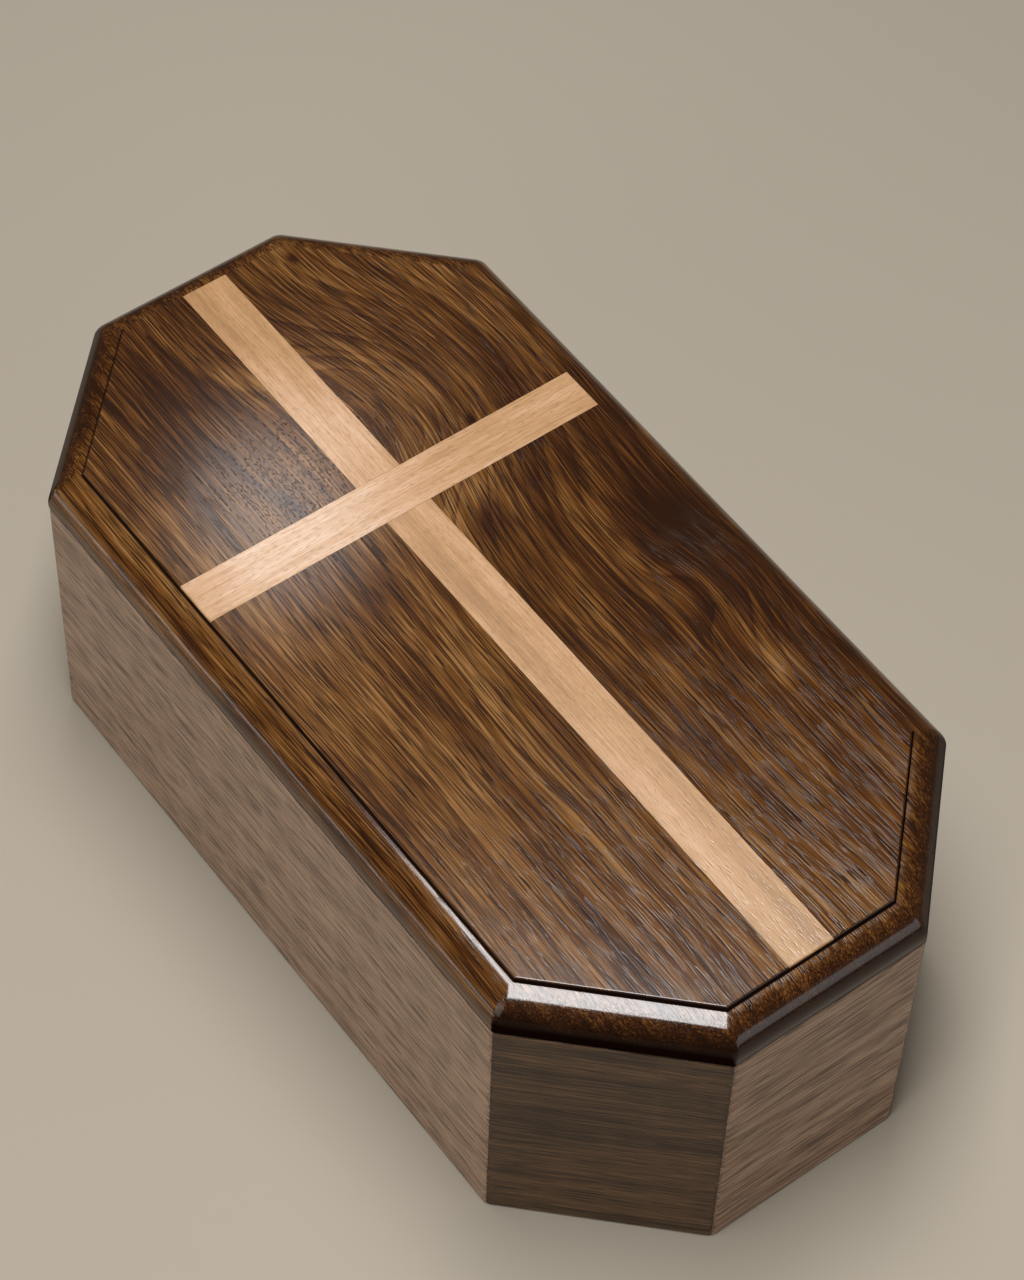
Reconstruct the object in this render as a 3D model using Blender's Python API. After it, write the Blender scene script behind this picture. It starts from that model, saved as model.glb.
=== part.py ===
"""Octagonal walnut cremation urn with a lift-off lid and an inlaid maple cross.

Metres, +Z up. The origin is on the floor under the middle of the urn, +Y points
to the head end of the cross and +X to its right arm, seen from above.
The walls are eight boards mitred at the upright corners, the base is let into a
rebate in them, and the lid is a slab with a raised field, a small square step and
a quarter-round edge, located by a tongue that drops inside the walls.
"""

import math

import bmesh
import bpy
from mathutils import Vector

# Driving dimensions, the box
BODY_WIDTH = 0.165
BODY_LENGTH = 0.324
CORNER_CUT = 0.048
WALL_HEIGHT = 0.100
WALL_THICKNESS = 0.012
WALL_ARRIS = 0.0005
BASE_THICKNESS = 0.009
BASE_REBATE = 0.006

# Driving dimensions, the lid
LID_EDGE_WIDTH = 0.0107
LID_EDGE_HEIGHT = 0.0116
LID_EDGE_RADIUS = 0.0105
FIELD_STEP = 0.0017
TONGUE_DEPTH = 0.0055
TONGUE_CLEARANCE = 0.0008

# Driving dimensions, the cross
BAR_WIDTH = 0.016
CROSSBAR_FROM_CENTRE = 0.0486
INLAY_THICKNESS = 0.0008

# Fits
JOINT_GAP = 0.0003
CUTTER_MARGIN = 0.004
SHORTEST_FLAT = 0.0001

# How finely the rounded edges are divided
EDGE_SEGMENTS = 16
ARRIS_SEGMENTS = 2

# A corner cut at 45 degrees, and so a mitre at half of that
CUT_ANGLE = math.radians(45.0)
MITRE = math.tan(CUT_ANGLE / 2)

# Levels worked out from the sizes above
LID_BOTTOM = WALL_HEIGHT + JOINT_GAP
STEP_FOOT = LID_BOTTOM + LID_EDGE_HEIGHT
LID_TOP = STEP_FOOT + FIELD_STEP


def clear_scene():
    """Removes every object, so that the model stands alone."""
    for obj in list(bpy.data.objects):
        bpy.data.objects.remove(obj, do_unlink=True)


def make_collection(name, hidden=False):
    """A collection linked to the scene."""
    collection = bpy.data.collections.new(name)
    bpy.context.scene.collection.children.link(collection)
    collection.hide_render = hidden
    return collection


def wood(name, colour, roughness):
    """A wood with one colour, lacquered to the given roughness."""
    material = bpy.data.materials.new(name)
    material.use_nodes = True
    shader = material.node_tree.nodes["Principled BSDF"]
    shader.inputs["Base Color"].default_value = (*colour, 1.0)
    shader.inputs["Roughness"].default_value = roughness
    shader.inputs["Metallic"].default_value = 0.0
    return material


def object_from(bm, name, collection, material=None):
    """Turns a finished bmesh into a named object."""
    mesh = bpy.data.meshes.new(name)
    bm.normal_update()
    bm.to_mesh(mesh)
    bm.free()
    obj = bpy.data.objects.new(name, mesh)
    collection.objects.link(obj)
    if material is not None:
        mesh.materials.append(material)
    return obj


def block(width, length, bottom, top):
    """A bmesh box centred on the Z axis, between two levels."""
    bm = bmesh.new()
    bmesh.ops.create_cube(bm, size=1.0)
    bmesh.ops.scale(bm, vec=(width, length, top - bottom), verts=bm.verts)
    bmesh.ops.translate(bm, vec=(0.0, 0.0, (bottom + top) / 2), verts=bm.verts)
    return bm


def octagonal_block(inset, bottom, top):
    """The body's outline, set in all round by a distance, as a solid between two levels."""
    bm = block(BODY_WIDTH - 2 * inset, BODY_LENGTH - 2 * inset, bottom, top)
    upright = [edge for edge in bm.edges if abs(edge.verts[0].co.z - edge.verts[1].co.z) > SHORTEST_FLAT]
    bmesh.ops.bevel(
        bm,
        geom=upright,
        offset=CORNER_CUT - inset * (2.0 - math.sqrt(2.0)),
        offset_type="OFFSET",
        affect="EDGES",
        segments=1,
        profile=0.5,
        material=-1,
        clamp_overlap=False,
    )
    return bm


def level_face(bm, level, facing):
    """The flat face at a level whose normal points up (1) or down (-1)."""
    bm.normal_update()
    for face in bm.faces:
        if face.normal.z * facing > 0.99 and abs(face.calc_center_median().z - level) < SHORTEST_FLAT / 2:
            return face
    raise ValueError(f"no face at {level}")


def inset_and_raise(bm, face, inset, rise):
    """Sets a flat face in by a distance and moves what is left of it along Z."""
    bmesh.ops.inset_region(bm, faces=[face], thickness=inset, depth=0.0, use_even_offset=True)
    moved = bmesh.ops.extrude_discrete_faces(bm, faces=[face])["faces"][0]
    bmesh.ops.translate(bm, vec=(0.0, 0.0, rise), verts=moved.verts)
    return moved


def add_cut(obj, cutter, name):
    """Cuts one object by another."""
    cut = obj.modifiers.new(name, "BOOLEAN")
    cut.operation = "DIFFERENCE"
    cut.solver = "EXACT"
    cut.object = cutter


def make_cutter(bm, name, collection):
    """An object that only cuts, and isn't rendered."""
    cutter = object_from(bm, name, collection)
    cutter.hide_render = True
    cutter.display_type = "WIRE"
    return cutter


def sides_of_body():
    """Name, outward direction and outer length of each of the eight sides, from the head, clockwise."""
    end_length = BODY_WIDTH - 2 * CORNER_CUT
    side_length = BODY_LENGTH - 2 * CORNER_CUT
    cut_length = CORNER_CUT / math.cos(CUT_ANGLE)
    lengths = (end_length, cut_length, side_length, cut_length) * 2
    names = ("head", "head_right", "right", "foot_right", "foot", "foot_left", "left", "head_left")
    directions = ((0, 1), (1, 1), (1, 0), (1, -1), (0, -1), (-1, -1), (-1, 0), (-1, 1))
    return list(zip(names, directions, lengths))


def side_middle(direction):
    """The middle of one side's outer face, on the floor."""
    reach = CORNER_CUT / 2 if direction[0] and direction[1] else 0.0
    return Vector((direction[0] * (BODY_WIDTH / 2 - reach), direction[1] * (BODY_LENGTH / 2 - reach), 0.0))


def make_wall(name, direction, length, cutter, collection, material):
    """One board, mitred at both ends, eased outside and rebated inside for the base."""
    set_back = JOINT_GAP / 2 / math.cos(CUT_ANGLE / 2)
    outer_length = length - 2 * set_back
    bm = block(outer_length, WALL_THICKNESS, 0.0, WALL_HEIGHT)
    bmesh.ops.translate(bm, vec=(0.0, -WALL_THICKNESS / 2, 0.0), verts=bm.verts)
    for vert in bm.verts:
        if vert.co.y < -WALL_THICKNESS / 2:
            vert.co.x -= math.copysign(WALL_THICKNESS * MITRE, vert.co.x)
    outside = [edge for edge in bm.edges if all(abs(vert.co.y) < SHORTEST_FLAT for vert in edge.verts)]
    bmesh.ops.bevel(
        bm,
        geom=outside,
        offset=WALL_ARRIS,
        offset_type="OFFSET",
        affect="EDGES",
        segments=ARRIS_SEGMENTS,
        profile=0.5,
        material=-1,
    )
    obj = object_from(bm, name, collection, material)
    obj.location = side_middle(direction)
    obj.rotation_euler.z = math.atan2(direction[1], direction[0]) - math.radians(90.0)
    add_cut(obj, cutter, "base rebate")
    return obj


def make_base(collection, material):
    """The base panel, let into the walls' rebate and flush with their feet."""
    inset = WALL_THICKNESS - BASE_REBATE + JOINT_GAP
    return object_from(octagonal_block(inset, 0.0, BASE_THICKNESS), "base_panel", collection, material)


def make_base_cutter(collection):
    """What the rebate takes out of the walls' inner feet."""
    inset = WALL_THICKNESS - BASE_REBATE
    bm = octagonal_block(inset, -CUTTER_MARGIN, BASE_THICKNESS + JOINT_GAP)
    return make_cutter(bm, "base_rebate_cutter", collection)


def make_lid(collection, material):
    """The slab: tongue below, quarter-round edge, square step and raised field."""
    bm = octagonal_block(0.0, LID_BOTTOM, STEP_FOOT)
    inset_and_raise(bm, level_face(bm, STEP_FOOT, 1), LID_EDGE_WIDTH, FIELD_STEP)
    inset_and_raise(bm, level_face(bm, LID_BOTTOM, -1), WALL_THICKNESS + TONGUE_CLEARANCE, -TONGUE_DEPTH)
    outline = [
        edge
        for edge in bm.edges
        if all(abs(vert.co.z - STEP_FOOT) < SHORTEST_FLAT / 2 for vert in edge.verts)
        and any(abs(face.normal.z) < 0.01 for face in edge.link_faces)
        and all(on_outline(vert.co) for vert in edge.verts)
    ]
    radius = min(LID_EDGE_RADIUS, LID_EDGE_WIDTH - SHORTEST_FLAT, LID_EDGE_HEIGHT - SHORTEST_FLAT)
    bmesh.ops.bevel(
        bm,
        geom=outline,
        offset=radius,
        offset_type="OFFSET",
        affect="EDGES",
        segments=EDGE_SEGMENTS,
        profile=0.5,
        material=-1,
        clamp_overlap=False,
    )
    bmesh.ops.recalc_face_normals(bm, faces=bm.faces)
    lid = object_from(bm, "lid", collection, material)
    lid.data.shade_smooth()
    lid.data.set_sharp_from_angle(angle=math.radians(30.0))
    return lid


def on_outline(point):
    """Whether a point lies on the body's outline, seen from above."""
    x = abs(point.x)
    y = abs(point.y)
    past_side = x - BODY_WIDTH / 2
    past_end = y - BODY_LENGTH / 2
    past_cut = (past_side + past_end + CORNER_CUT) * math.cos(CUT_ANGLE)
    return max(past_side, past_end, past_cut) > -SHORTEST_FLAT


def bar(length_x, length_y, centre, bottom, top):
    """A flat bar with its middle at a point of the field."""
    bm = block(length_x, length_y, bottom, top)
    bmesh.ops.translate(bm, vec=(centre[0], centre[1], 0.0), verts=bm.verts)
    return bm


def make_cross(lid, collection, cutters, material):
    """Three inlaid bars, and the two grooves in the lid that they lie in."""
    field_width = BODY_WIDTH - 2 * LID_EDGE_WIDTH
    field_end = BODY_LENGTH / 2 - LID_EDGE_WIDTH
    groove_width = BAR_WIDTH + 2 * JOINT_GAP
    groove_floor = LID_TOP - INLAY_THICKNESS - JOINT_GAP
    groove_top = LID_TOP + CUTTER_MARGIN
    run_out = 2 * CUTTER_MARGIN
    grooves = {
        "crossbar": (field_width + run_out, groove_width, (0.0, CROSSBAR_FROM_CENTRE)),
        "upright": (groove_width, 2 * field_end + run_out, (0.0, 0.0)),
    }
    for name, (length_x, length_y, centre) in grooves.items():
        bm = bar(length_x, length_y, centre, groove_floor, groove_top)
        add_cut(lid, make_cutter(bm, f"{name}_groove_cutter", cutters), f"{name} groove")

    underside = LID_TOP - INLAY_THICKNESS
    crossbar = bar(field_width, BAR_WIDTH, (0.0, CROSSBAR_FROM_CENTRE), underside, LID_TOP)
    object_from(crossbar, "inlay_crossbar", collection, material)
    butt = BAR_WIDTH / 2 + JOINT_GAP
    runs = {
        "inlay_upright_head": (CROSSBAR_FROM_CENTRE + butt, field_end),
        "inlay_upright_foot": (-field_end, CROSSBAR_FROM_CENTRE - butt),
    }
    for name, (start, end) in runs.items():
        upright = bar(BAR_WIDTH, end - start, (0.0, (start + end) / 2), underside, LID_TOP)
        object_from(upright, name, collection, material)


def main():
    """Builds the urn."""
    clear_scene()
    urn = make_collection("octagonal_urn")
    cutters = make_collection("cutters", hidden=True)
    walnut = wood("lacquered walnut", (0.105, 0.047, 0.018), 0.32)
    wall_walnut = wood("satin walnut", (0.120, 0.080, 0.052), 0.50)
    maple = wood("lacquered maple", (0.640, 0.390, 0.200), 0.35)

    base_cutter = make_base_cutter(cutters)
    for name, direction, length in sides_of_body():
        make_wall(f"wall_{name}", direction, length, base_cutter, urn, wall_walnut)
    make_base(urn, wall_walnut)
    lid = make_lid(urn, walnut)
    make_cross(lid, urn, cutters, maple)


main()
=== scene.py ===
"""Fine shape and finish of an octagonal walnut cremation urn with an inlaid maple cross.

Metres, +Z up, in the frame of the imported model: the origin is on the floor under the middle
of the urn, +Y points to the head end of the cross and +X to its right arm. The woods'
patterns are in millimetres, measured across the grain, along it and into the board.
"""
import logging
import math
from dataclasses import dataclass, replace
from enum import Enum

import bmesh
import bpy
from bmesh.types import BMEdge, BMesh, BMFace, BMVert
from bpy.types import ID, Material, Node, NodeSocket, NodeTree, Object
from mathutils import Matrix, Vector


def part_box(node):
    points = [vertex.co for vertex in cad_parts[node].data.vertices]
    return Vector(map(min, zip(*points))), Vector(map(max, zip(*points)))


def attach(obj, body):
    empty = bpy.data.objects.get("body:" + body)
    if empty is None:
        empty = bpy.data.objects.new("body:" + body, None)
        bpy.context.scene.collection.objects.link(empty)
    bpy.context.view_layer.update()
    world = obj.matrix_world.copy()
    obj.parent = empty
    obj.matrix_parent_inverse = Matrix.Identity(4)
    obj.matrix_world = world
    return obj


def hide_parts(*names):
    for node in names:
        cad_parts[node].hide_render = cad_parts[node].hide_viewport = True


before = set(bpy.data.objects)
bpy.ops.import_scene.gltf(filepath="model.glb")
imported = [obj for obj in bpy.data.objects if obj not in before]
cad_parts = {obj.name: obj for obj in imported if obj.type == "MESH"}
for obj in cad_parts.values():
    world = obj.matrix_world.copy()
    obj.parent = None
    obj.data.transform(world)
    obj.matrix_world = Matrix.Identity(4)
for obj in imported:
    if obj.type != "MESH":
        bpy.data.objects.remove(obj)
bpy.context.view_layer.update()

Pair = tuple[float, float]
Triple = tuple[float, float, float]

BODY = "root"
END_GRAIN = "end_grain"
MILLIMETRES = 1000.0
CORNER_CUT = 0.048
SEAT_GAP = 0.0003
CUT_ANGLE = math.radians(45.0)
SHARP_ANGLE = math.radians(33.0)
NEAR = 0.00004
CUTTER_MARGIN = 0.004
BROAD = 400.0
CORNER_SEGMENTS = 6

log = logging.getLogger("octagonal_urn")


class Side(Enum):
    """The eight sides of the body, each by the direction that it faces in plan."""

    HEAD = (0, 1)
    HEAD_RIGHT = (1, 1)
    RIGHT = (1, 0)
    FOOT_RIGHT = (1, -1)
    FOOT = (0, -1)
    FOOT_LEFT = (-1, -1)
    LEFT = (-1, 0)
    HEAD_LEFT = (-1, 1)

    @property
    def outward(self) -> Vector:
        """The side's outward direction, of length one."""
        return Vector((*self.value, 0.0)).normalized()

    @property
    def piece_name(self) -> str:
        """The name of the board on this side."""
        return f"wall_{self.name.lower()}"

    def turned(self, steps: int) -> "Side":
        """The side that many places further round, clockwise seen from above."""
        sides = list(Side)
        return sides[(sides.index(self) + steps) % len(sides)]


class Slot(Enum):
    """The record's material slots."""

    LID = "walnut_lid"
    WALLS = "walnut_walls"
    INLAY = "maple_inlay"


def linear_colour(hex_colour: str) -> tuple[float, ...]:
    """Turns an sRGB hex colour into linear values.

    Args:
        hex_colour: a colour such as "#55351d".

    Returns:
        Red, green, blue and a full alpha.
    """
    channels = [int(hex_colour[start:start + 2], 16) / 255 for start in (1, 3, 5)]
    linear = [c / 12.92 if c <= 0.04045 else ((c + 0.055) / 1.055) ** 2.4 for c in channels]
    return (*linear, 1.0)


def feed(tree: NodeTree, node: Node, inputs: dict) -> None:
    """Fills a shader node's inputs.

    Args:
        tree: the node tree.
        node: the node.
        inputs: what goes into each input, a value or another node's output.
    """
    for key, value in inputs.items():
        if isinstance(value, NodeSocket):
            tree.links.new(value, node.inputs[key])
        else:
            node.inputs[key].default_value = value


def add_node(tree: NodeTree, kind: str, inputs: dict, output: int | str = 0, stops: list | tuple = (),
             **settings: object) -> NodeSocket:
    """Adds a shader node with its settings, values and links.

    Args:
        tree: the node tree.
        kind: the node's type, without ShaderNode in front.
        inputs: what goes into each input, a value or another node's output.
        output: the output to hand back.
        stops: pairs of place and colour, for a colour ramp.
        settings: the node's own options.

    Returns:
        The chosen output.
    """
    node = tree.nodes.new(f"ShaderNode{kind}")
    for name, value in settings.items():
        setattr(node, name, value)
    feed(tree, node, inputs)
    for index, (place, colour) in enumerate(stops):
        elements = node.color_ramp.elements
        element = elements[index] if index < 2 else elements.new(place)
        element.position = place
        element.color = colour
    return node.outputs[output]


def layered(tree: NodeTree, base: NodeSocket | float, layers: tuple, contrast: float = 1.0) -> NodeSocket:
    """Lays figures of the wood over each other.

    Args:
        tree: the node tree.
        base: the value that they are added to.
        layers: pairs of a figure and how strongly it shows.
        contrast: how strongly they all show.

    Returns:
        The sum.
    """
    for layer, weight in layers:
        parts = {0: layer, 1: weight * contrast, 2: base}
        base = add_node(tree, "Math", parts, operation="MULTIPLY_ADD")
    return base


@dataclass(frozen=True)
class Patch:
    """A soft-edged oval on a board, in millimetres, and how much it does there."""

    across: float
    along: float
    reach_across: float
    reach_along: float
    amount: float

    def added_to(self, tree: NodeTree, value: NodeSocket | float, place: NodeSocket) -> NodeSocket:
        """Adds the patch to a value.

        Args:
            tree: the node tree.
            value: what the patch is added to.
            place: the point on the board, in millimetres.

        Returns:
            The value with the patch in it.
        """
        reach = (1 / self.reach_across, 1 / self.reach_along, 0.0)
        shift = (-self.across / self.reach_across, -self.along / self.reach_along, 0.0)
        offset = add_node(tree, "VectorMath", {0: place, 1: reach, 2: shift}, operation="MULTIPLY_ADD")
        squared = add_node(tree, "VectorMath", {0: offset, 1: offset}, output="Value",
                           operation="DOT_PRODUCT")
        share = add_node(tree, "Math", {0: 1 / math.e, 1: squared}, operation="POWER")
        return add_node(tree, "Math", {0: share, 1: self.amount, 2: value}, operation="MULTIPLY_ADD")


@dataclass(frozen=True)
class Board:
    """How one board lies: which way its grain runs, and which part of the log it was cut from."""

    along: Triple
    outward: Triple
    log_place_mm: Triple = (0.0, 0.0, 0.0)

    def place(self, tree: NodeTree) -> NodeSocket:
        """A point of the piece in the board's own directions.

        Args:
            tree: the node tree.

        Returns:
            Millimetres across the grain, along it and out of the board's face.
        """
        along = Vector(self.along).normalized()
        outward = Vector(self.outward).normalized()
        turn = Matrix((along.cross(outward), along, outward))
        moves = {
            "Vector": add_node(tree, "TexCoord", {}, output="Object"),
            "Location": self.log_place_mm,
            "Rotation": turn.to_euler("XYZ"),
            "Scale": (MILLIMETRES,) * 3,
        }
        return add_node(tree, "Mapping", moves)


def stretch(number: int, start: tuple[float, ...], step: tuple[float, ...]) -> tuple[float, ...]:
    """Which part of the log a board is cut from, counted on from the first board."""
    return tuple(first + more * number for first, more in zip(start, step))


def figure(tree: NodeTree, place: NodeSocket, cell_mm: Pair, detail: float = 1.0,
           roughness: float = 0.5) -> NodeSocket:
    """An irregular figure in the wood, drawn out along the grain.

    Args:
        tree: the node tree.
        place: the point in the board, in millimetres.
        cell_mm: the figure's usual size across the grain and along it.
        detail: how many finer figures lie in it.
        roughness: how strong those are.

    Returns:
        A value that strays about 0.2 either way from 0.5.
    """
    across, along = cell_mm
    cells = (1 / across, 1 / along, 1 / across)
    scaled = add_node(tree, "VectorMath", {0: place, 1: cells}, operation="MULTIPLY")
    return add_node(tree, "TexNoise",
                    {"Vector": scaled, "Scale": 1.0, "Detail": detail, "Roughness": roughness})


@dataclass(frozen=True)
class Lacquer:
    """Clear lacquer over the wood: how much of it lies there and how gloss it was rubbed."""

    weight: float
    roughness: float
    ior: float = 1.52
    under_gloss: float = 0.0

    def surface(
        self,
        material: Material,
        colour: NodeSocket,
        wood_roughness: NodeSocket | float,
        height: NodeSocket,
        wood_depth: float,
        lacquer_depth: float,
        painted_shade: NodeSocket | None = None,
    ) -> None:
        """Finishes a material: wood below, lacquer on top, both following the open grain.

        Args:
            material: the material to finish.
            colour: the wood's colour.
            wood_roughness: the bare wood's roughness, a number or a pattern.
            height: the surface's height, from 0 in a pore to 1 on the face.
            wood_depth: how deep a pore is in the wood, in metres.
            lacquer_depth: how far the lacquer sinks into a pore, in metres.
            painted_shade: where shade is painted into the colour, from 0 to 1; the lacquer is made thin there
                too.
        """
        tree = material.node_tree
        weight = self.weight
        # Where shade is painted, the lacquer is thinned too, so it mirrors little there
        if painted_shade:
            weight = add_node(tree, "Math", {0: painted_shade, 1: -weight, 2: weight}, operation="MULTIPLY_ADD")
        looks = {
            "Base Color": colour,
            "Roughness": wood_roughness,
            "IOR": self.ior,
            "Specular IOR Level": self.under_gloss,
            "Coat Weight": weight,
            "Coat Roughness": self.roughness,
            "Coat IOR": self.ior,
        }
        for name, depth in (("Normal", wood_depth), ("Coat Normal", lacquer_depth)):
            looks[name] = add_node(tree, "Bump", {"Strength": 1.0, "Distance": depth, "Height": height})
        feed(tree, tree.nodes["Principled BSDF"], looks)


def new_material(name: str) -> Material:
    """Starts a material.

    Args:
        name: the material's name.

    Returns:
        The material, with only a Principled shader in it.
    """
    material = bpy.data.materials.new(name)
    material.use_nodes = True
    return material


@dataclass(frozen=True)
class Stain:
    """A band of levels where shade is painted into the finish as a darker colour.

    On corners only, it lies where the grain is cut aslant.
    """

    low_mm: float
    high_mm: float
    fade_mm: float
    amount: float
    corners_only: bool = False

    def added_to(self, tree: NodeTree, value: NodeSocket | None, place: NodeSocket,
                 ends: NodeSocket) -> NodeSocket:
        """Adds this painted shade to what is painted already.

        Args:
            tree: the node tree.
            value: how dark the finish is without it, if there is any.
            place: the point in the board, in millimetres.
            ends: 1 on end grain, 0 along the grain.

        Returns:
            How dark the finish is with it.
        """
        height = add_node(tree, "SeparateXYZ", {0: place}, output="Z")
        rising = {"From Min": self.low_mm - self.fade_mm, "From Max": self.low_mm, "To Max": self.amount}
        falling = {"From Min": self.high_mm, "From Max": self.high_mm + self.fade_mm, "To Min": 1.0,
                   "To Max": 0.0}
        rise = add_node(tree, "MapRange", {"Value": height, **rising})
        fall = add_node(tree, "MapRange", {"Value": height, **falling})
        if self.corners_only:
            sides = add_node(tree, "Math", {0: 1.0, 1: ends}, operation="SUBTRACT")
            aslant = add_node(tree, "Math", {0: sides, 1: ends}, operation="MULTIPLY")
            fall = add_node(tree, "Math", {0: fall, 1: aslant}, operation="MULTIPLY")
        return add_node(tree, "Math", {0: rise, 1: fall, 2: value or 0.0}, operation="MULTIPLY_ADD",
                        use_clamp=True)


@dataclass(frozen=True)
class Walnut:
    """Black walnut heartwood, planed, sanded and lacquered with its grain left open.

    The growth rings give the eye brown bands that darken slowly and end in a thin dark line,
    fine fibres break them into straight stripes, and the open pores are short dark dashes
    along the grain that glint on one side where light rakes across them.
    """

    lacquer: Lacquer
    colours: tuple[str, ...] = ("#240e02", "#3b1e08", "#4f2e0e", "#63401c", "#805b33")
    colour_tones: tuple[float, ...] = (0.16, 0.36, 0.50, 0.64, 0.84)
    pore_colour: str = "#180a04"
    # Colour of the painted shade in the step and low on the lid's edge
    painted_shade_colour: str = "#120804"
    ring_mm: float = 6.5
    stripe_mm: float = 3.2
    swells: tuple[Patch, ...] = ()
    shades: tuple[Patch, ...] = ()
    # Bands of painted shade
    stains: tuple[Stain, ...] = ()
    dives: tuple[Patch, ...] = ()
    wander_mm: float = 9.0
    slow_cell_mm: Pair = (62.0, 170.0)
    quick_wander_mm: float = 0.8
    quick_cell_mm: Pair = (11.0, 55.0)
    uneven_cell_mm: Pair = (17.0, 260.0)
    ripple_cell_mm: Pair = (0.5, 18.0)
    ripple: float = 0.5
    ring_lean: float = 0.35
    ring_unevenness: float = 4.0
    ring_darkness: float = 0.19
    middle_tone: float = 0.60
    contrast: float = 1.0
    wood_roughness: float = 0.42
    pore_darkness: float = 0.75
    pore_dullness: float = 0.25
    pore_depth: float = 0.00006
    lacquer_depth: float = 0.00002

    # A pore is 0.2 mm wide, too fine to show, so it is drawn half as wide again
    pore_mm: Pair = (0.33, 12.0)
    short_pore_mm: Pair = (0.48, 1.4)
    short_pore_rarity: float = 0.035
    pore_share: Pair = (0.555, 0.64)
    late_wood_rarity: float = 0.03

    # The fibres keep nearly straight where the rings swell round a knot or a crotch
    fibre_swell: float = 0.30

    # End grain drinks more stain, so it comes out darker
    end_darkness: float = 0.55

    def bend(self, tree: NodeTree, place: NodeSocket) -> tuple[NodeSocket, NodeSocket]:
        """Bends straight millimetres to follow the grain as it wanders and swells.

        Args:
            tree: the node tree.
            place: the point in the board, in millimetres.

        Returns:
            The point with its first part measured across the bent rings, and across the fibres.
        """
        parts = add_node(tree, "SeparateXYZ", {0: place}).node.outputs
        slow = figure(tree, place, self.slow_cell_mm)
        quick = figure(tree, place, self.quick_cell_mm)
        wanders = ((slow, self.wander_mm * 2), (quick, self.quick_wander_mm * 2))
        wander = layered(tree, parts["X"], wanders)
        middle = self.wander_mm + self.quick_wander_mm
        wander = add_node(tree, "Math", {0: wander, 1: middle}, operation="SUBTRACT")
        swollen = wander
        for swell in self.swells:
            swollen = swell.added_to(tree, swollen, place)
        straight = add_node(tree, "Mix", {0: self.fibre_swell, 2: wander, 3: swollen})
        return tuple(
            add_node(tree, "CombineXYZ", {"X": across, "Y": parts["Y"], "Z": parts["Z"]})
            for across in (swollen, straight)
        )

    def rings(self, tree: NodeTree, grain: NodeSocket) -> NodeSocket:
        """The growth rings: each darkens slowly and ends in a thin dark line.

        Args:
            tree: the node tree.
            grain: the point, measured across the bent rings.

        Returns:
            How dark the ring is there, from 0 to 1.
        """
        spacing = (1 / self.ring_mm, 0.0, self.ring_lean / self.ring_mm)
        count = add_node(tree, "VectorMath", {0: grain, 1: spacing}, output="Value", operation="DOT_PRODUCT")
        uneven = figure(tree, grain, self.uneven_cell_mm)
        parts = {0: uneven, 1: self.ring_unevenness, 2: count}
        count = add_node(tree, "Math", parts, operation="MULTIPLY_ADD")
        part = add_node(tree, "Math", {0: count}, operation="FRACT")
        growth = ((0.0, 0.10), (0.08, 0.0), (0.55, 0.22), (0.86, 0.62), (0.95, 1.0), (1.0, 0.10))
        stops = [(at, (dark, dark, dark, 1.0)) for at, dark in growth]
        return add_node(tree, "ValToRGB", {"Fac": part}, stops=stops)

    def pores(self, tree: NodeTree, fibres: NodeSocket, ring: NodeSocket) -> NodeSocket:
        """The open pores: long dashes, and short ones where the grain dives into the board.

        Args:
            tree: the node tree.
            fibres: the point, measured across the fibres.
            ring: how dark the ring is there; its pale early wood has more pores.

        Returns:
            1 in a pore, 0 between them.
        """
        dashes = figure(tree, fibres, self.pore_mm, detail=0.0)
        for dive in self.dives:
            short = figure(tree, fibres, self.short_pore_mm, detail=0.0)
            short = add_node(tree, "Math", {0: short, 1: self.short_pore_rarity},
                             operation="SUBTRACT")
            diving = dive.added_to(tree, 0.0, fibres)
            dashes = add_node(tree, "Mix", {0: diving, 2: dashes, 3: short})
        parts = {0: ring, 1: -self.late_wood_rarity, 2: dashes}
        thinned = add_node(tree, "Math", parts, operation="MULTIPLY_ADD")
        low, high = self.pore_share
        return add_node(tree, "MapRange", {"Value": thinned, "From Min": low, "From Max": high},
                        interpolation_type="SMOOTHSTEP")

    def tone(self, tree: NodeTree, grain: NodeSocket, fibres: NodeSocket, ring: NodeSocket,
             ends: NodeSocket) -> NodeSocket:
        """How light the wood is, from broad bands of heartwood down to single fibres.

        Args:
            tree: the node tree.
            grain: the point, measured across the bent rings.
            fibres: the point, measured across the fibres.
            ring: how dark the ring is there.
            ends: 1 on end grain, 0 along the grain.

        Returns:
            0 for the darkest wood, 1 for the lightest.
        """
        stripe = self.stripe_mm

        # Each layer of streaks, broadest first, and how strongly it shows
        layers = (
            (figure(tree, grain, (stripe * 5, 150.0)), 0.65),
            (figure(tree, grain, (stripe, 150.0)), 0.30),
            (figure(tree, fibres, (1.1, 80.0)), 0.18),
            (figure(tree, fibres, (0.42, 30.0)), 1.10),
            (figure(tree, fibres, (12.0, 16.0)), 0.25),
        )
        middle = self.middle_tone - sum(weight for _, weight in layers) * self.contrast / 2
        value = layered(tree, middle, ((ring, -self.ring_darkness), *layers), self.contrast)
        for shade in self.shades:
            value = shade.added_to(tree, value, fibres)
        return add_node(tree, "Math", {0: ends, 1: -self.end_darkness, 2: value}, operation="MULTIPLY_ADD")

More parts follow.
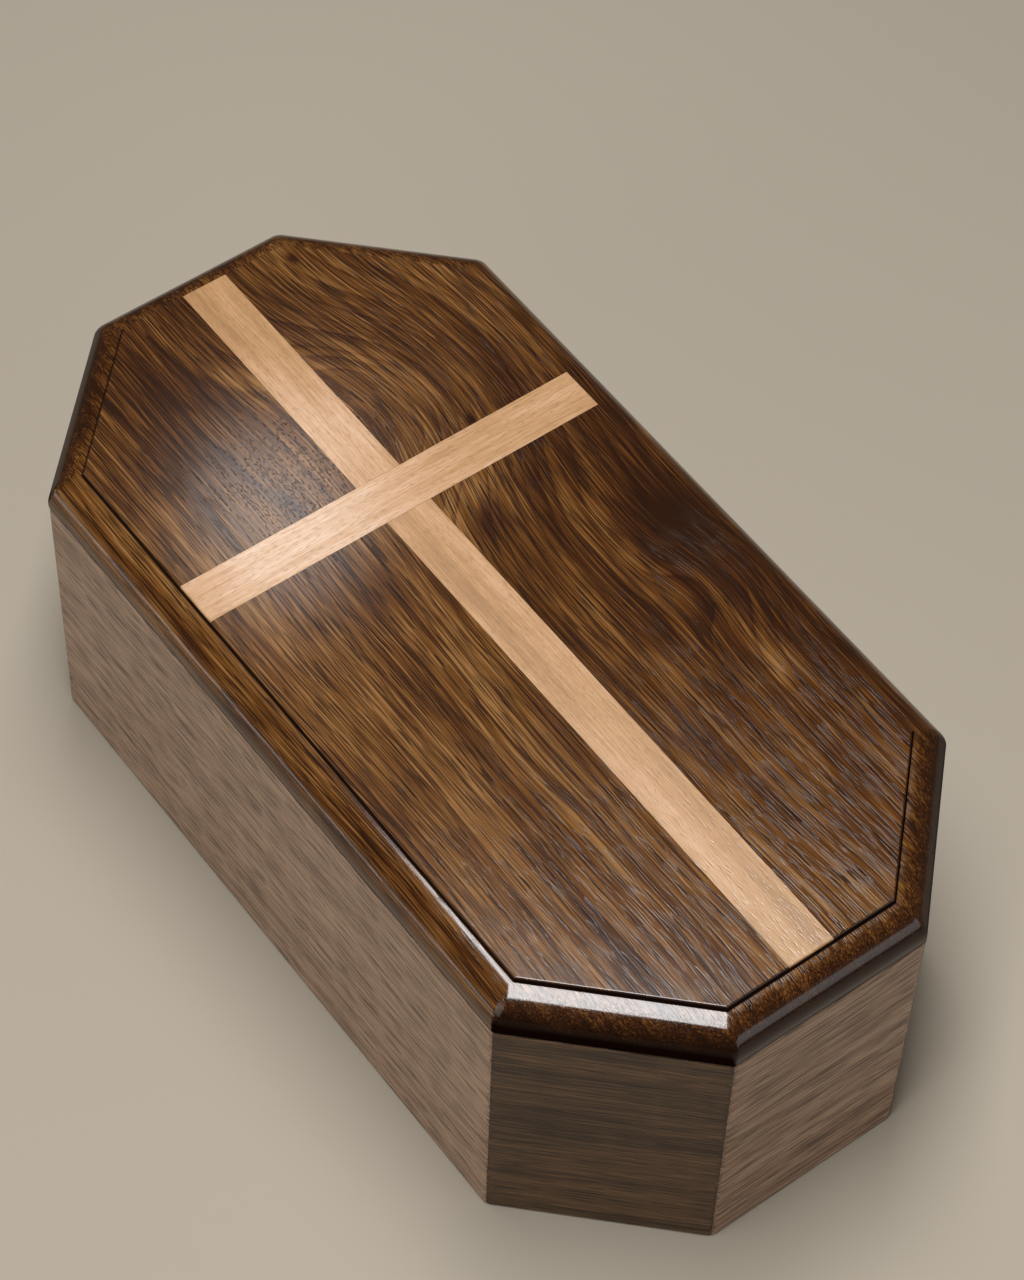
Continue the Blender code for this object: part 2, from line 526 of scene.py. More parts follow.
    def material(self, name: str, board: Board, lighter: float = 0.0) -> Material:
        """Makes the finish for one board.

        Args:
            name: the material's name.
            board: how the board lies.
            lighter: how much lighter than usual the board is.

        Returns:
            The finished material.
        """
        made = new_material(name)
        tree = made.node_tree
        place = board.place(tree)
        grain, fibres = self.bend(tree, place)
        ring = self.rings(tree, grain)
        pores = self.pores(tree, fibres, ring)
        stops = [(at, linear_colour(colour)) for at, colour in zip(self.colour_tones, self.colours)]
        ends = add_node(tree, "Attribute", {}, output="Fac", attribute_name=END_GRAIN)
        tone = add_node(tree, "Math", {0: self.tone(tree, grain, fibres, ring, ends), 1: lighter})
        colour = add_node(tree, "ValToRGB", {"Fac": tone}, stops=stops)
        filled = add_node(tree, "Math", {0: pores, 1: self.pore_darkness}, operation="MULTIPLY")
        colour = add_node(tree, "Mix", {0: filled, 6: colour, 7: linear_colour(self.pore_colour)},
                          output=2, data_type="RGBA")
        # Painted shade darkens the colour in the step and low on the edge, and thins the lacquer there
        painted_dark = None
        for shade_band in self.stains:
            painted_dark = shade_band.added_to(tree, painted_dark, place, ends)
        if painted_dark:
            colour = add_node(tree, "Mix", {0: painted_dark, 6: colour, 7: linear_colour(self.painted_shade_colour)},
                              output=2, data_type="RGBA")
        parts = {0: pores, 1: self.pore_dullness, 2: self.wood_roughness}
        roughness = add_node(tree, "Math", parts, operation="MULTIPLY_ADD")
        ripple = figure(tree, fibres, self.ripple_cell_mm)
        parts = {0: ripple, 1: self.ripple, 2: 1.0 - self.ripple}
        level = add_node(tree, "Math", parts, operation="MULTIPLY_ADD")
        height = add_node(tree, "Math", {0: level, 1: pores}, operation="SUBTRACT")
        self.lacquer.surface(made, colour, roughness, height, self.pore_depth, self.lacquer_depth, painted_dark)
        return made


@dataclass(frozen=True)
class Maple:
    """Hard maple, sawn thin, inlaid, sanded flush and lacquered.

    It is pale and even, with faint warm bands, and fine flecks give its surface a silky
    shimmer along each bar.
    """

    lacquer: Lacquer
    colours: tuple[str, ...] = ("#8e683f", "#a57c50", "#b9926f", "#c7a98f", "#cfbdae")
    colour_tones: tuple[float, ...] = (0.08, 0.30, 0.52, 0.76, 1.0)
    fleck_colour: str = "#76502b"
    fleck_darkness: float = 0.35
    darkness: float = 0.58
    contrast: float = 0.75
    wood_roughness: float = 0.40
    fleck_depth: float = 0.00002
    lacquer_depth: float = 0.00001
    shades: tuple[Patch, ...] = ()

    # A fleck is 0.2 mm wide, too fine to show, so it is drawn at twice that
    fleck_mm: Pair = (0.45, 2.6)
    fleck_share: Pair = (0.56, 0.70)

    def material(self, name: str, board: Board, lighter: float) -> Material:
        """Makes the finish for one bar.

        Args:
            name: the material's name.
            board: how the bar lies.
            lighter: how much lighter than usual the bar is.

        Returns:
            The finished material.
        """
        made = new_material(name)
        tree = made.node_tree
        place = board.place(tree)

        # Broad bands, fibres and curl across the grain, and how strongly each shows
        layers = (
            (figure(tree, place, (5.5, 95.0), detail=3.0, roughness=0.55), 1.05),
            (figure(tree, place, (0.5, 14.0)), 0.75),
            (figure(tree, place, (10.0, 4.5)), 0.16),
        )
        tone = layered(tree, lighter - self.darkness, layers)
        # Patches painted paler or darker; on the inlay they are painted sheen and shade
        for shade in self.shades:
            tone = shade.added_to(tree, tone, place)
        tone = add_node(tree, "Math", {0: tone, 1: self.contrast}, operation="MULTIPLY")
        stops = [(at, linear_colour(colour)) for at, colour in zip(self.colour_tones, self.colours)]
        colour = add_node(tree, "ValToRGB", {"Fac": tone}, stops=stops)
        flecks = figure(tree, place, self.fleck_mm, detail=0.5)
        low, high = self.fleck_share
        flecks = add_node(tree, "MapRange", {"Value": flecks, "From Min": low, "From Max": high})
        dimmed = add_node(tree, "Math", {0: flecks, 1: self.fleck_darkness}, operation="MULTIPLY")
        colour = add_node(tree, "Mix", {0: dimmed, 6: colour, 7: linear_colour(self.fleck_colour)},
                          output=2, data_type="RGBA")
        height = add_node(tree, "Math", {0: 1.0, 1: flecks}, operation="SUBTRACT")
        self.lacquer.surface(made, colour, self.wood_roughness, height, self.fleck_depth,
                             self.lacquer_depth)
        return made


def cut_away(bm: BMesh, point: Vector, direction: Vector) -> None:
    """Takes away what lies past a plane and closes the cut.

    Args:
        bm: the solid.
        point: a point of the plane.
        direction: the way from the plane to what goes.
    """
    everything = [*bm.verts, *bm.edges, *bm.faces]
    cut = bmesh.ops.bisect_plane(bm, geom=everything, dist=NEAR / 10, plane_co=point, plane_no=direction,
                                 clear_outer=True)
    edges = [item for item in cut["geom_cut"] if isinstance(item, BMEdge)]
    bmesh.ops.contextual_create(bm, geom=edges)


def round_off(bm: BMesh, parts: list[BMEdge] | list[BMVert], reach: float, segments: int) -> list[BMVert]:
    """Rounds edges of a solid, or rounds or cuts corners of a flat face.

    Args:
        bm: the mesh.
        parts: the edges or the corners.
        reach: how far from each the rounding starts.
        segments: how many flats stand for the round.

    Returns:
        The new corners.
    """
    affect = "VERTICES" if isinstance(parts[0], BMVert) else "EDGES"
    return bmesh.ops.bevel(
        bm, geom=parts, offset=reach, offset_type="OFFSET", affect=affect,
        segments=segments, profile=0.5, material=-1, clamp_overlap=False,
    )["verts"]


def edges_at(bm: BMesh, level: float) -> list[BMEdge]:
    """The edges that lie wholly at one level."""
    return [edge for edge in bm.edges if all(abs(vert.co.z - level) < NEAR for vert in edge.verts)]


def upright_edges(bm: BMesh) -> list[BMEdge]:
    """The edges that rise from one level to another."""
    return [edge for edge in bm.edges if abs(edge.verts[0].co.z - edge.verts[1].co.z) > NEAR]


@dataclass(frozen=True)
class Outline:
    """The body's plan: a rectangle with its four corners cut at 45 degrees."""

    width: float
    length: float
    corner_cut: float

    def reach(self, side: Side) -> float:
        """How far one side is from the middle.

        Args:
            side: the side.

        Returns:
            The distance, square to the side.
        """
        if side in (Side.LEFT, Side.RIGHT):
            return self.width / 2
        if side in (Side.HEAD, Side.FOOT):
            return self.length / 2
        return (self.width / 2 + self.length / 2 - self.corner_cut) * math.cos(CUT_ANGLE)

    def corner_leg(self, inset: float) -> float:
        """How much of each corner is cut once the outline is set in."""
        return self.corner_cut - inset * (2.0 - math.sqrt(2.0))

    def corner(self, side: Side, step: int) -> Vector:
        """Where a side meets its neighbour.

        Args:
            side: the side.
            step: 1 for the next side clockwise, -1 for the one before.

        Returns:
            The corner, on the floor.
        """
        other = side.turned(step)
        first, second = side.outward, other.outward
        facing = Matrix((first.xy, second.xy))
        meeting = facing.inverted() @ Vector((self.reach(side), self.reach(other)))
        return Vector((*meeting, 0.0))

    def face(self, bm: BMesh, inset: float, level: float, softness: float) -> BMFace:
        """Adds one flat face of the outline, its corners rounded.

        Args:
            bm: the mesh that it is added to.
            inset: how far the outline is set in, all round.
            level: its level.
            softness: the radius of its corners.

        Returns:
            The face.
        """
        turned = Matrix.Rotation(CUT_ANGLE, 4, "Z")
        made = bmesh.ops.create_circle(bm, cap_ends=True, segments=4, radius=math.sqrt(0.5), matrix=turned)
        square = made["verts"]
        bmesh.ops.scale(bm, vec=(self.width - 2 * inset, self.length - 2 * inset, 1.0), verts=square)
        bmesh.ops.translate(bm, vec=(0.0, 0.0, level), verts=square)
        corners = round_off(bm, square, self.corner_leg(inset), segments=1)
        start = softness * math.tan(CUT_ANGLE / 2)
        corners = round_off(bm, corners, start, CORNER_SEGMENTS)
        return corners[0].link_faces[0]

    def prism(self, inset: float, bottom: float, top: float) -> BMesh:
        """A solid of the outline.

        Args:
            inset: how far the outline is set in, all round.
            bottom: the level of its underside.
            top: the level of its upper side.

        Returns:
            The solid.
        """
        bm = bmesh.new()
        bmesh.ops.create_cube(bm, size=1.0)
        size = (self.width - 2 * inset, self.length - 2 * inset, top - bottom)
        bmesh.ops.scale(bm, vec=size, verts=bm.verts)
        bmesh.ops.translate(bm, vec=(0.0, 0.0, (bottom + top) / 2), verts=bm.verts)
        round_off(bm, upright_edges(bm), self.corner_leg(inset), segments=1)
        return bm


def add_object(name: str, data: ID) -> Object:
    """Adds an object to the scene.

    Args:
        name: the object's name.
        data: its mesh, light or camera.

    Returns:
        The object, at the origin.
    """
    made = bpy.data.objects.new(name, data)
    bpy.context.scene.collection.objects.link(made)
    return made


def add_solid(name: str, bm: BMesh) -> Object:
    """Adds a solid to the scene, which uses it up.

    Args:
        name: the object's name.
        bm: the solid, in its place.

    Returns:
        The object.
    """
    mesh = bpy.data.meshes.new(name)
    bm.to_mesh(mesh)
    bm.free()
    return add_object(name, mesh)


def finished_piece(bm: BMesh, name: str, cutters: tuple[BMesh, ...] = ()) -> Object:
    """Turns a solid into a finished, shaded piece.

    Args:
        bm: the solid, in its place.
        name: the piece's name.
        cutters: solids to cut out of it.

    Returns:
        The piece, at the origin, with its place in its mesh.
    """
    bmesh.ops.recalc_face_normals(bm, faces=bm.faces)
    piece = add_solid(name, bm)
    mesh = piece.data
    tools = [add_solid(f"{name}_cutter", cutter) for cutter in cutters]
    for tool in tools:
        cut = piece.modifiers.new(tool.name, "BOOLEAN")
        cut.operation = "DIFFERENCE"
        cut.solver = "EXACT"
        cut.object = tool
    mesh.shade_smooth()
    mesh.set_sharp_from_angle(angle=SHARP_ANGLE)
    even = piece.modifiers.new("even_shading", "WEIGHTED_NORMAL")
    even.keep_sharp = True
    graph = bpy.context.evaluated_depsgraph_get()
    piece.data = bpy.data.meshes.new_from_object(piece.evaluated_get(graph))
    piece.data.name = name
    piece.modifiers.clear()
    for tool in tools:
        bpy.data.objects.remove(tool, do_unlink=True)
    bpy.data.meshes.remove(mesh)
    return piece


def mark_end_grain(piece: Object, along: Vector) -> None:
    """Notes on each face corner of a board how far its surface is turned across the grain.

    Args:
        piece: the board.
        along: the way that its grain runs.
    """
    mesh = piece.data
    turned = [abs(normal.vector.dot(along)) for normal in mesh.corner_normals]
    marks = mesh.attributes.new(END_GRAIN, "FLOAT", "CORNER")
    marks.data.foreach_set("value", turned)


def place_piece(piece: Object, material: Material, slot: Slot, *nodes: str) -> None:
    """Gives a piece its finish and lets it stand for CAD nodes.

    Args:
        piece: the piece.
        material: its finish.
        slot: the record's slot that the finish fills; not used.
        nodes: the CAD nodes that it replaces.
    """
    piece.data.materials.clear()
    piece.data.materials.append(material)
    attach(piece, BODY)
    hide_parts(*nodes)
    log.info("%s: %d faces, %s", piece.name, len(piece.data.polygons), material.name)


@dataclass
class Lid:
    """The lid: one slab with a raised field, a small step, a quarter-round edge and a tongue below."""

    outline: Outline
    bottom: float
    top: float
    tongue_low: float
    finish: Walnut
    edge_width: float = 0.0107
    field_step: float = 0.0017
    riser_lean: float = 0.0006
    ledge: float = 0.0002
    edge_segments: int = 24
    field_easing: float = 0.0005
    field_segments: int = 5
    foot_easing: float = 0.0004
    tongue_inset: float = 0.0128
    sharp_corner: float = 0.0004
    outer_corner: float = 0.0012
    fullest_corner: float = 0.0042

    # The seat and the ledge slope by a hair, as sanding leaves them
    slope: float = 0.00003

    @property
    def step_foot(self) -> float:
        """The level of the step's foot, where the rounded edge starts."""
        return self.top - self.field_step

    def past(self, edge: BMEdge, depth: float) -> bool:
        """Whether an edge is nearer the outline than a depth."""
        point = (edge.verts[0].co + edge.verts[1].co) / 2
        return any(self.outline.reach(side) - point.dot(side.outward) < depth for side in Side)

    def profile(self) -> list[Triple]:
        """The slab's section, from the tongue's underside out and up to the field.

        Returns:
            The inset, the level and the corner radius of each outline. The rounded edge turns
            its corners most softly half-way up, so that a highlight flows round them.
        """
        radius = self.edge_width - self.riser_lean - self.ledge
        rows = [
            (self.tongue_inset, self.tongue_low, self.sharp_corner),
            (self.tongue_inset, self.bottom + self.slope, self.sharp_corner),
            (self.foot_easing, self.bottom, self.outer_corner),
            (0.0, self.bottom + self.foot_easing, self.outer_corner),
        ]
        crest = self.step_foot - self.slope
        for step in range(self.edge_segments + 1):
            lean = math.radians(90.0) * (1.0 - step / self.edge_segments)
            softness = self.outer_corner + (self.fullest_corner - self.outer_corner) * math.sin(2.0 * lean)
            rows.append((radius * (1.0 - math.sin(lean)), crest - radius * (1.0 - math.cos(lean)), softness))
        rows.append((self.edge_width - self.riser_lean, self.step_foot, self.sharp_corner))
        for step in range(self.field_segments + 1):
            lean = math.radians(90.0) * step / self.field_segments
            inset = self.edge_width + self.field_easing * (1.0 - math.cos(lean))
            rows.append((inset, self.top - self.field_easing * (1.0 - math.sin(lean)), self.sharp_corner))
        return rows

    def solid(self) -> BMesh:
        """The slab, without the grooves of the inlay.

        Returns:
            The solid, each row of its section joined to the next.
        """
        bm = bmesh.new()
        rows = self.profile()
        below = None
        for number, (inset, level, softness) in enumerate(rows):
            face = self.outline.face(bm, inset, level, softness)
            edges = list(face.edges)
            if 0 < number < len(rows) - 1:
                bmesh.ops.delete(bm, geom=[face], context="FACES_ONLY")
            if below:
                bmesh.ops.bridge_loops(bm, edges=below + edges)
            below = edges
        return bm

    def build(self, grooves: tuple[BMesh, ...]) -> None:
        """Makes the lid.

        Args:
            grooves: solids of the grooves that the inlay lies in.
        """
        piece = finished_piece(self.solid(), "walnut_lid", grooves)
        board = Board(along=(0, 1, 0), outward=(0, 0, 1))
        mark_end_grain(piece, Vector(board.along))
        place_piece(piece, self.finish.material("open-grained walnut, gloss lacquer", board), Slot.LID, "lid")


@dataclass
class Cross:
    """The cross: three maple bars let into the lid, the upright butted against the crossbar."""

    lid: Lid
    crossbar_centre: float
    bar_width: float
    thickness: float
    finish: Maple
    glue_line: float = 0.00008

    # How much lighter than usual each bar is, and which stretch of the log it was sawn from
    lighter: Triple = (-0.02, -0.04, 0.0)
    log_start_mm: Triple = (0.0, 0.0, 15.0)
    log_step_mm: Triple = (90.0, 400.0, 0.0)

    def bar(self, low: Pair, high: Pair, spread: float = 0.0, rise: float = 0.0, drop: float = 0.0) -> BMesh:
        """A flat bar, or the groove for it.

        Args:
            low: its left foot-end corner.
            high: its right head-end corner.
            spread: how much wider it is than that, on each side.
            rise: how far it goes above the lid.
            drop: how far it goes below its own underside.

        Returns:
            The solid.
        """
        bottom = self.lid.top - self.thickness - drop
        top = self.lid.top + rise
        bm = bmesh.new()
        bmesh.ops.create_cube(bm, size=1.0)
        size = (high[0] - low[0] + 2 * spread, high[1] - low[1] + 2 * spread, top - bottom)
        bmesh.ops.scale(bm, vec=size, verts=bm.verts)
        middle = ((low[0] + high[0]) / 2, (low[1] + high[1]) / 2, (bottom + top) / 2)
        bmesh.ops.translate(bm, vec=middle, verts=bm.verts)
        return bm

    def corners(self) -> dict[str, tuple[Pair, Pair]]:
        """Where the bars lie.

        Returns:
            The left foot-end and right head-end corners of each bar, with the crossbar's first.
        """
        half = self.bar_width / 2
        side = self.lid.outline.width / 2 - self.lid.edge_width
        end = self.lid.outline.length / 2 - self.lid.edge_width
        near, far = self.crossbar_centre - half, self.crossbar_centre + half
        return {
            "crossbar": ((-side, near), (side, far)),
            "upright_head": ((-half, far), (half, end)),
            "upright_foot": ((-half, -end), (half, near)),
        }

    def grooves(self) -> tuple[BMesh, BMesh]:
        """The two grooves: one across, and one from end to end.

        Returns:
            The solid of each groove, run out past the field.
        """
        corners = self.corners()
        room = (self.glue_line, CUTTER_MARGIN, self.glue_line)
        (low_x, near), (high_x, far) = corners["crossbar"]
        across = self.bar((low_x - CUTTER_MARGIN, near), (high_x + CUTTER_MARGIN, far), *room)
        low_x, low_y = corners["upright_foot"][0]
        high_x, high_y = corners["upright_head"][1]
        along = self.bar((low_x, low_y - CUTTER_MARGIN), (high_x, high_y + CUTTER_MARGIN), *room)
        return across, along

    def build(self) -> None:
        """Makes the three bars, their ends eased with the edge of the field."""
        for number, (name, (low, high)) in enumerate(self.corners().items()):
            near_gap = self.glue_line if name == "upright_head" else 0.0
            far_gap = self.glue_line if name == "upright_foot" else 0.0
            bm = self.bar((low[0], low[1] + near_gap), (high[0], high[1] - far_gap))
            rim = self.lid.edge_width + NEAR
            ends = [edge for edge in edges_at(bm, self.lid.top) if self.lid.past(edge, rim)]
            round_off(bm, ends, self.lid.field_easing, self.lid.field_segments)
            piece = finished_piece(bm, f"maple_{name}")
            along = (1, 0, 0) if name == "crossbar" else (0, 1, 0)
            log_place = stretch(number, self.log_start_mm, self.log_step_mm)
            board = Board(along=along, outward=(0, 0, 1), log_place_mm=log_place)
            words = name.replace("_", " ")
            finish = self.finish.material(f"flush-sanded maple, {words}", board, self.lighter[number])
            place_piece(piece, finish, Slot.INLAY, f"inlay_{name}")


@dataclass
class Walls:
    """The eight boards of the box, mitred at its corners and rebated inside for the base."""

    outline: Outline
    height: float
    base_thickness: float
    finish: Walnut
    thickness: float = 0.012
    rebate: float = 0.006
    corner_radius: float = 0.0016
    foot_easing: float = 0.0010
    top_easing: float = 0.0004
    glue_line: float = 0.00006
    joint_shade: float = -0.12
    joint_shade_mm: float = 0.9

    # How much lighter than usual each board is, clockwise from the head, and its stretch of the log; on the
    # left and foot boards the extra lightness is painted light
    lighter: tuple[float, ...] = (-0.08, -0.04, 0.0, -0.08, 0.14, 0.05, 0.20, -0.04)
    log_start_mm: Triple = (130.0, 0.0, 0.0)
    log_step_mm: Triple = (37.0, 310.0, 12.0)

    # The board nearest the foot on the left has painted shade in darker colours, with painted light a little
    # paler towards the floor
    painted_shade_side: Side = Side.FOOT_LEFT
    painted_shade_colours: tuple[str, ...] = ("#110905", "#20140b", "#352416", "#4e3824", "#674c33")
    painted_light_low: Patch = Patch(-10.0, 0.0, 40.0, BROAD, 0.14)

    def ring(self) -> BMesh:
        """The whole body as one solid, its corners and its upper and lower edges eased.

        Returns:
            The solid.
        """
        bm = self.outline.prism(0.0, 0.0, self.height)
        round_off(bm, upright_edges(bm), self.corner_radius, segments=5)
        round_off(bm, edges_at(bm, 0.0), self.foot_easing, segments=4)
        round_off(bm, edges_at(bm, self.height), self.top_easing, segments=3)
        return bm

    def board(self, side: Side) -> BMesh:
        """One board, cut out of the ring.

        Args:
            side: the side that the board is on.

        Returns:
            The board, without the rebate for the base.
        """
        bm = self.ring()
        outward = side.outward
        cut_away(bm, outward * (self.outline.reach(side) - self.thickness), -outward)
        for step in (1, -1):
            past = (side.turned(step).outward - outward).normalized()
            cut_away(bm, self.outline.corner(side, step) - past * self.glue_line / 2, past)
        return bm

    def build(self) -> None:
        """Makes the eight boards, each from its own stretch of the log."""
        for number, side in enumerate(Side):
            inset = self.thickness - self.rebate
            rebate = self.outline.prism(inset, -CUTTER_MARGIN, self.base_thickness + self.glue_line)
            piece = finished_piece(self.board(side), f"walnut_{side.piece_name}", (rebate,))
            along = Vector((0.0, 0.0, 1.0)).cross(side.outward)
            log_place = stretch(number, self.log_start_mm, self.log_step_mm)
            board = Board(along=tuple(along), outward=tuple(side.outward), log_place_mm=log_place)
            ends = [along.dot(self.outline.corner(side, step)) * MILLIMETRES for step in (1, -1)]
            shades = tuple(
                Patch(log_place[0], log_place[1] + end, BROAD, self.joint_shade_mm, self.joint_shade)
                for end in ends
            )
            colours = self.finish.colours
            # The board in painted shade takes the darker colours and the painted light near the floor
            if side is self.painted_shade_side:
                colours = self.painted_shade_colours
                foot = self.painted_light_low
                shades += (replace(foot, across=foot.across + log_place[0], along=log_place[1]),)
            walnut = replace(self.finish, shades=shades, colours=colours)
            words = side.name.lower().replace("_", " ")
            finish = walnut.material(f"satin walnut board, {words}", board, self.lighter[number])
            place_piece(piece, finish, Slot.WALLS, side.piece_name)


@dataclass
class Base:
    """The base: one panel let into the walls, flush with their feet."""

    walls: Walls
    finish: Walnut
    fit: float = 0.0001
    easing: float = 0.0004

    def build(self) -> None:
        """Makes the panel, its lower edge eased."""
        inset = self.walls.thickness - self.walls.rebate + self.fit
        bm = self.walls.outline.prism(inset, 0.0, self.walls.base_thickness)
        round_off(bm, edges_at(bm, 0.0), self.easing, segments=2)
        piece = finished_piece(bm, "walnut_base_panel")
        board = Board(along=(0, 1, 0), outward=(0, 0, 1), log_place_mm=(620.0, 95.0, 40.0))
        place_piece(piece, self.finish.material("satin walnut panel", board), Slot.WALLS, "base_panel")


@dataclass(frozen=True)
class SoftBox:
    """A soft studio light: a bright panel that faces a point."""

    name: str
    centre: Triple
    aim: Triple
    size: Pair
    power: float
    turn: float = 0.0
    round: bool = False

    def build(self) -> None:
        """Hangs the light."""
        light = bpy.data.lights.new(self.name, "AREA")
        light.shape = "ELLIPSE" if self.round else "RECTANGLE"
        light.size, light.size_y = self.size
        light.energy = self.power
        lamp = add_object(self.name, light)
        lamp.location = self.centre
        facing = (Vector(self.aim) - Vector(self.centre)).to_track_quat("-Z", "Y").to_matrix()
        lamp.rotation_euler = (facing @ Matrix.Rotation(math.radians(self.turn), 3, "Z")).to_euler()
        lamp.visible_camera = False


@dataclass
class Studio:
    """Where the urn stands: a pale floor, soft light and the camera."""

    floor_radius: float = 4.0
    floor_level: float = -0.0001
    floor_sides: int = 96
    floor_colours: tuple[str, str] = ("#9b9284", "#a1988a")
    floor_tones: Pair = (0.3, 0.7)
    floor_roughness: float = 0.85
    clouds_per_metre: float = 1.5
    air_colour: str = "#b5aa9b"
    air_strength: float = 0.24
    camera_place: Triple = (-0.41768, -0.53906, 1.02083)
    camera_angles_deg: Triple = (36.2968, -1.3519, -36.5451)
    lens_mm: float = 107.84
    sensor_mm: float = 36.0
    clip_start: float = 0.01

    def floor(self) -> None:
        """Lays the floor: matt painted board, even but for a faint cloudiness."""
        bm = bmesh.new()
        bmesh.ops.create_circle(bm, cap_ends=True, segments=self.floor_sides, radius=self.floor_radius)
        bmesh.ops.translate(bm, vec=(0.0, 0.0, self.floor_level), verts=bm.verts)
        floor = add_solid("studio_floor", bm)
        paint = new_material("matt painted floor")
        tree = paint.node_tree
        place = add_node(tree, "TexCoord", {}, output="Object")
        cloud = add_node(tree, "TexNoise", {"Vector": place, "Scale": self.clouds_per_metre, "Detail": 1.0})
        stops = [(at, linear_colour(colour)) for at, colour in zip(self.floor_tones, self.floor_colours)]
        colour = add_node(tree, "ValToRGB", {"Fac": cloud}, stops=stops)
        feed(tree, tree.nodes["Principled BSDF"], {"Base Color": colour, "Roughness": self.floor_roughness})
        floor.data.materials.append(paint)

    def lights(self) -> None:
        """Hangs the lights, with dim air round them."""
        boxes = (
            # Lights the lid, and lies as a white band along the edge of the near cut corner
            SoftBox("overhead_box", centre=(-0.057, 0.014, 1.21), aim=(-0.057, 0.014, 0.0),
                    size=(0.37, 1.03), power=18.6, turn=-45.0),
            # A low strip, mirrored low on the lid's left edge, and a fill for the left wall
            SoftBox("left_box", centre=(-1.00, 0.50, 0.07), aim=(-0.08, 0.0, 0.07),
                    size=(1.3, 0.12), power=1.1),
            SoftBox("left_fill", centre=(-1.05, -0.25, 0.55), aim=(-0.08, 0.0, 0.05),
                    size=(0.7, 0.7), power=2.4),
            # Lights the wall at the foot
            SoftBox("foot_box", centre=(0.50, -1.10, 0.42), aim=(0.0, -0.16, 0.05),
                    size=(1.1, 0.5), power=2.5),
            # The lid mirrors it as the soft sheen left of the upright
            SoftBox("far_disc", centre=(0.430, 0.790, 1.21), aim=(0.0, 0.05, 0.1), size=(0.11, 0.11),
                    power=0.17, round=True),
        )
        for box in boxes:
            box.build()
        world = bpy.data.worlds.new("studio_air")
        world.use_nodes = True
        background = world.node_tree.nodes["Background"]
        background.inputs["Color"].default_value = linear_colour(self.air_colour)
        background.inputs["Strength"].default_value = self.air_strength
        bpy.context.scene.world = world

    def camera(self) -> None:
        """Sets the camera up at the photograph's view."""
        data = bpy.data.cameras.new("camera")
        data.lens = self.lens_mm
        data.sensor_width = self.sensor_mm
        data.clip_start = self.clip_start
        camera = add_object("camera", data)
        camera.location = self.camera_place
        camera.rotation_euler = [math.radians(angle) for angle in self.camera_angles_deg]
        bpy.context.scene.camera = camera
        bpy.context.scene.view_settings.view_transform = "Standard"

    def build(self) -> None:
        """Sets up the studio."""
        self.floor()
        self.lights()
        self.camera()


# Gloss lacquer mirrors a light with its shape still in it, and satin spreads it to a soft glow
GLOSS = Lacquer(weight=1.0, roughness=0.12)
MAPLE_GLOSS = Lacquer(weight=1.0, roughness=0.14, under_gloss=0.5)
SATIN = Lacquer(weight=0.65, roughness=0.26)

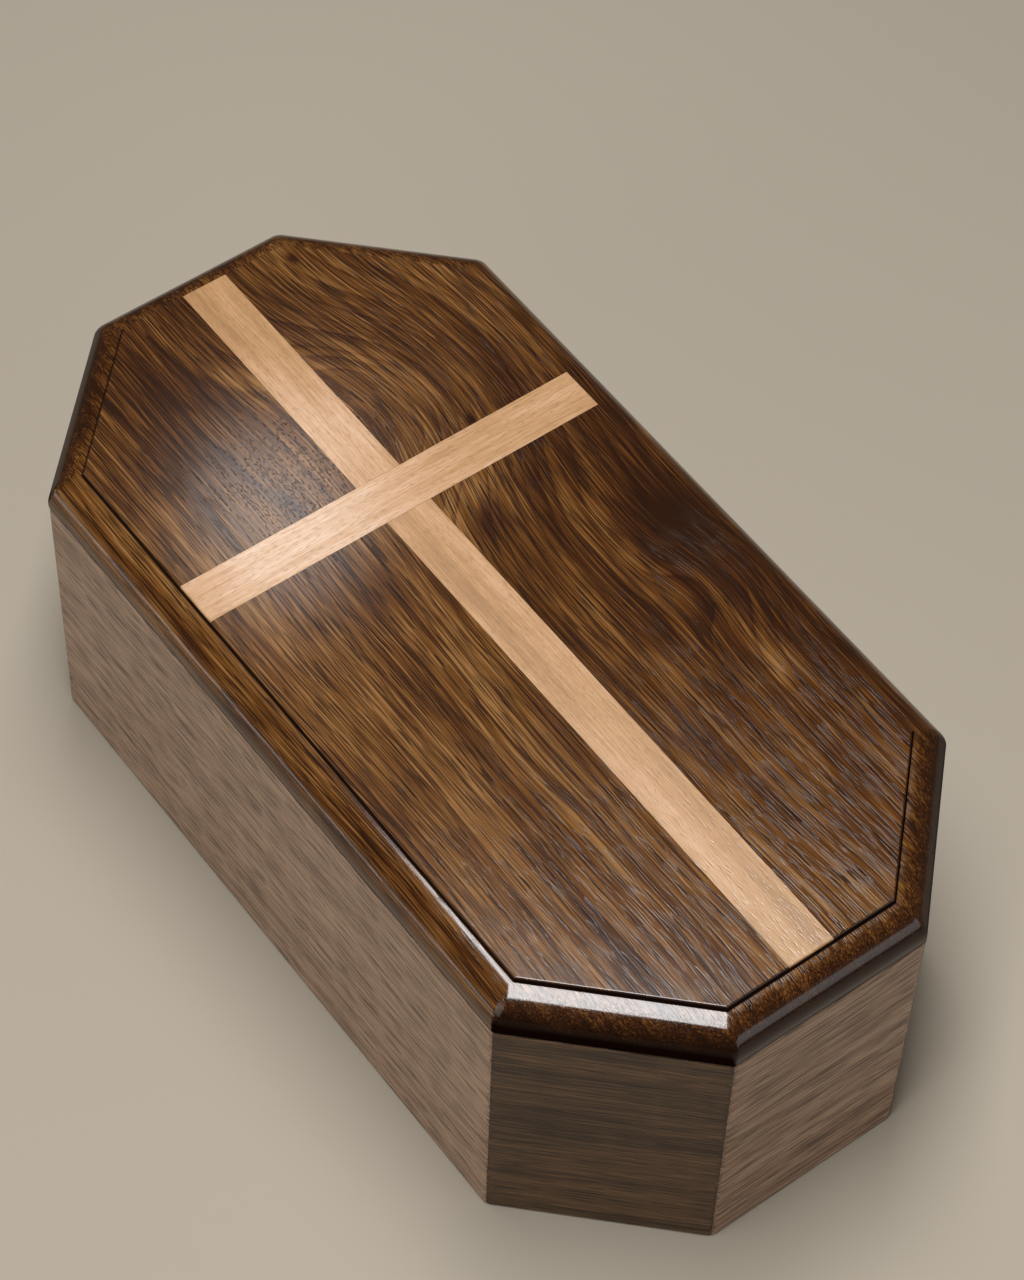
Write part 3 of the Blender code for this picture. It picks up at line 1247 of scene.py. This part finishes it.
# Dark brown heartwood with lively figure
LID_WALNUT = Walnut(
    lacquer=GLOSS,
    # The grain swells round a crotch by the crossbar's right arm, and round a knot by the right edge
    swells=(
        Patch(16.0, 74.0, 26.0, 40.0, -28.0),
        Patch(45.0, 80.0, 40.0, 45.0, -24.0),
        Patch(60.0, -34.0, 20.0, 22.0, -16.0),
    ),
    shades=(
        # Broad shade at the head, along the right edge and at the foot
        Patch(-45.0, 115.0, 30.0, 40.0, -0.24),
        Patch(58.0, -30.0, 20.0, 80.0, -0.42),
        Patch(-30.0, -122.0, 34.0, 30.0, -0.02),
        # Single streaks, pale and dark
        Patch(-22.0, -42.0, 3.5, 26.0, 0.22),
        Patch(-33.0, -40.0, 1.6, 40.0, -0.22),
        Patch(15.0, 34.0, 5.0, 7.0, 0.20),
        Patch(14.0, 24.0, 5.0, 8.0, -0.30),
        Patch(43.0, -2.0, 2.5, 26.0, 0.26),
        Patch(51.0, -42.0, 3.0, 20.0, 0.24),
        Patch(21.5, -32.0, 2.2, 30.0, 0.24),
        Patch(11.0, -20.0, 2.5, 36.0, -0.22),
        Patch(62.0, -8.0, 10.0, 13.0, -0.22),
        Patch(53.0, -68.0, 6.0, 8.0, 0.22),
        # Two small knots
        Patch(28.3, 144.3, 2.0, 2.4, -0.45),
        Patch(26.0, 58.5, 1.8, 2.2, -0.40),
    ),
    # Painted shade in the step, over the lower part of the cut corners' edge, and along the lid's foot
    stains=(
        Stain(low_mm=112.1, high_mm=113.0, fade_mm=0.25, amount=0.95),
        Stain(low_mm=98.0, high_mm=101.5, fade_mm=8.5, amount=6.5, corners_only=True),
        Stain(low_mm=98.0, high_mm=100.7, fade_mm=1.6, amount=0.6),
    ),
    lacquer_depth=0.000009,
    # The grain dives left of the upright, above the crossbar
    dives=(Patch(-24.0, 70.0, 18.0, 24.0, 1.2),),
)

# Pale strips with a silky shimmer
INLAY_MAPLE = Maple(
    lacquer=MAPLE_GLOSS,
    # Painted sheen, paler where the crossbar nears the sheen and past the crossing, and painted shade, darker
    # at the foot
    shades=(
        Patch(-48.6, -28.0, 40.0, 40.0, 0.44),
        Patch(90.0, 482.0, 30.0, 30.0, 0.36),
        Patch(180.0, 650.0, 30.0, 26.0, -0.08),
    ),
)

# Straight-grained boards with narrow rings, greyer and more even than the lid
WALL_WALNUT = Walnut(
    lacquer=SATIN,
    colours=("#3a2619", "#553b2a", "#745743", "#92745e", "#ab8e77"),
    pore_colour="#2a1b12",
    ring_mm=2.0,
    stripe_mm=1.0,
    wander_mm=5.0,
    contrast=0.75,
)


def body_outline() -> Outline:
    """The body's plan.

    Returns:
        The outline, from the box of the CAD lid and the corner cut.
    """
    low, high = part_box("lid")
    return Outline(width=high.x - low.x, length=high.y - low.y, corner_cut=CORNER_CUT)


def main() -> None:
    """Builds the urn on the frame, then the studio round it."""
    logging.basicConfig(level=logging.INFO, format="%(name)s: %(message)s")
    outline = body_outline()
    lid_low, lid_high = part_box("lid")
    wall_low, wall_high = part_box("wall_foot")
    base_low, base_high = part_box("base_panel")
    bar_low, bar_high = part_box("inlay_crossbar")

    lid = Lid(outline, bottom=wall_high.z + SEAT_GAP, top=lid_high.z, tongue_low=lid_low.z, finish=LID_WALNUT)
    cross = Cross(lid, crossbar_centre=(bar_low.y + bar_high.y) / 2, bar_width=bar_high.y - bar_low.y,
                  thickness=bar_high.z - bar_low.z, finish=INLAY_MAPLE)
    walls = Walls(outline, height=wall_high.z - wall_low.z, base_thickness=base_high.z - base_low.z,
                  finish=WALL_WALNUT)
    lid.build(cross.grooves())
    cross.build()
    walls.build()
    Base(walls, finish=WALL_WALNUT).build()
    Studio().build()


if __name__ == "__main__":
    main()
